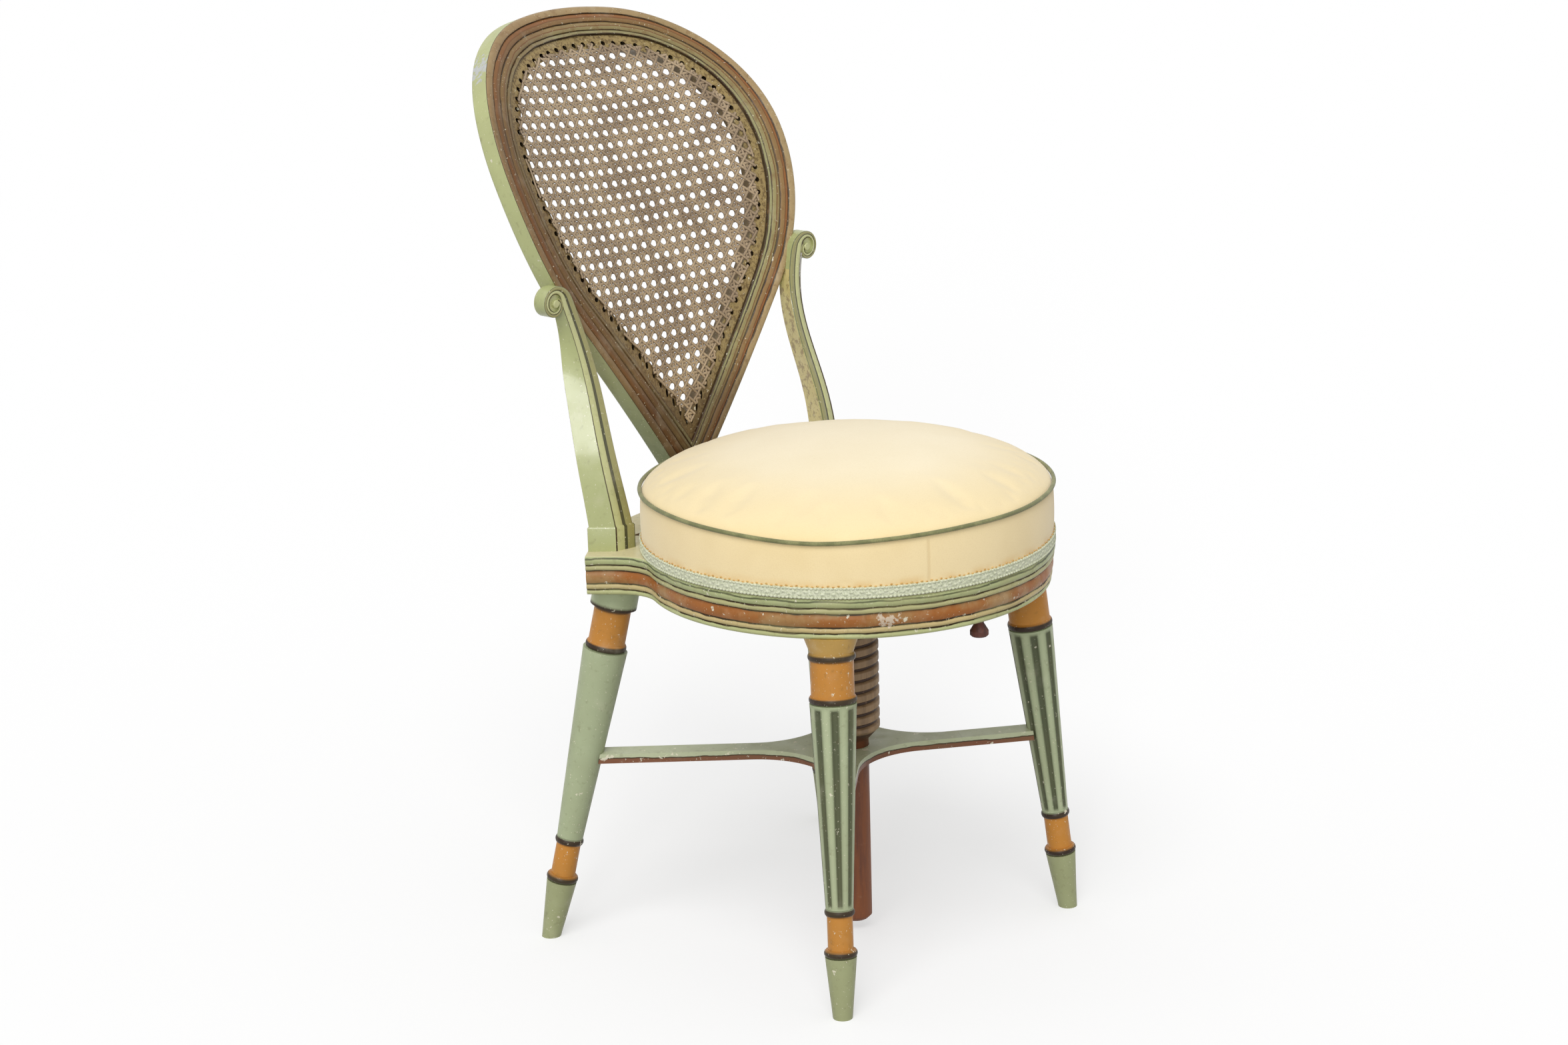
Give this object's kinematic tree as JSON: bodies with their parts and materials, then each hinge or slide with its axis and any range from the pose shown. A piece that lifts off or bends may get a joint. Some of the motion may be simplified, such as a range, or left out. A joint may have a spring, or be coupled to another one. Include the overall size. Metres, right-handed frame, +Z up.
{
  "type": "music stool",
  "caption": "Painted revolving music stool with a caned teardrop back, scrolled arms, turned legs and a round cushioned seat that rises on a wooden screw.",
  "frame": {"origin": "on the floor under the middle of the whole stool", "axes": "+Z up; the stool faces -Y, and +X is at the right of someone who stands in front of it and looks along +Y"},
  "size_m": [0.449, 0.6128, 0.9178],
  "materials": {
    "paint": "worn gloss paint",
    "dowel_wood": "bare",
    "bare_wood": "oiled",
    "screw_wood": "worn stain",
    "steel": "dull",
    "cane": "aged cane",
    "stuffing": "hair and wadding",
    "cloth": "velvet",
    "gimp": "braid",
    "piping": "cord"
  },
  "bodies": {
    "frame": {"front_rail": "paint", "rail_left": "paint", "rail_right": "paint", "back_rail": "paint", "rail_dowels": "dowel_wood", "leg_front_left": "paint", "leg_front_right": "paint", "leg_rear_left": "paint", "leg_rear_right": "paint", "stretcher_hub": "paint", "stretcher_front_left": "paint", "stretcher_front_right": "paint", "stretcher_rear_left": "paint", "stretcher_rear_right": "paint", "cross_bar": "bare_wood", "bar_screws": "steel", "screw_nut": "bare_wood", "nut_screws": "steel", "back_crest": "paint", "back_stile_left": "paint", "back_stile_right": "paint", "back_toe": "paint", "hoop_dowels": "dowel_wood", "cane_panel": "cane", "arm_left": "paint", "arm_right": "paint", "arm_dowels": "dowel_wood", "underside_knob": "screw_wood"},
    "lift_washer": {"lift_washer": "steel"},
    "seat": {"seat_screw": "screw_wood", "seat_flange": "bare_wood", "flange_screws": "steel", "seat_board": "bare_wood", "seat_padding": "stuffing", "seat_cover": "cloth", "seat_boxing": "cloth", "seat_gimp": "gimp", "seat_piping": "piping"}
  },
  "joints": [
    {"name": "seat_rise", "type": "slide", "parent": "frame", "child": "lift_washer", "axis": [0, 0, 1], "range_m": [0, 0.0961]},
    {"name": "seat_turn", "type": "hinge", "parent": "lift_washer", "child": "seat", "pos_m": [0, -0.09976, 0.4], "axis": [0, 0, 1], "range_deg": [0, 2880]}
  ],
  "couplings": [
    {"joint": "seat_rise", "follows": "seat_turn", "m_per_rad": 0.0019099}
  ]
}
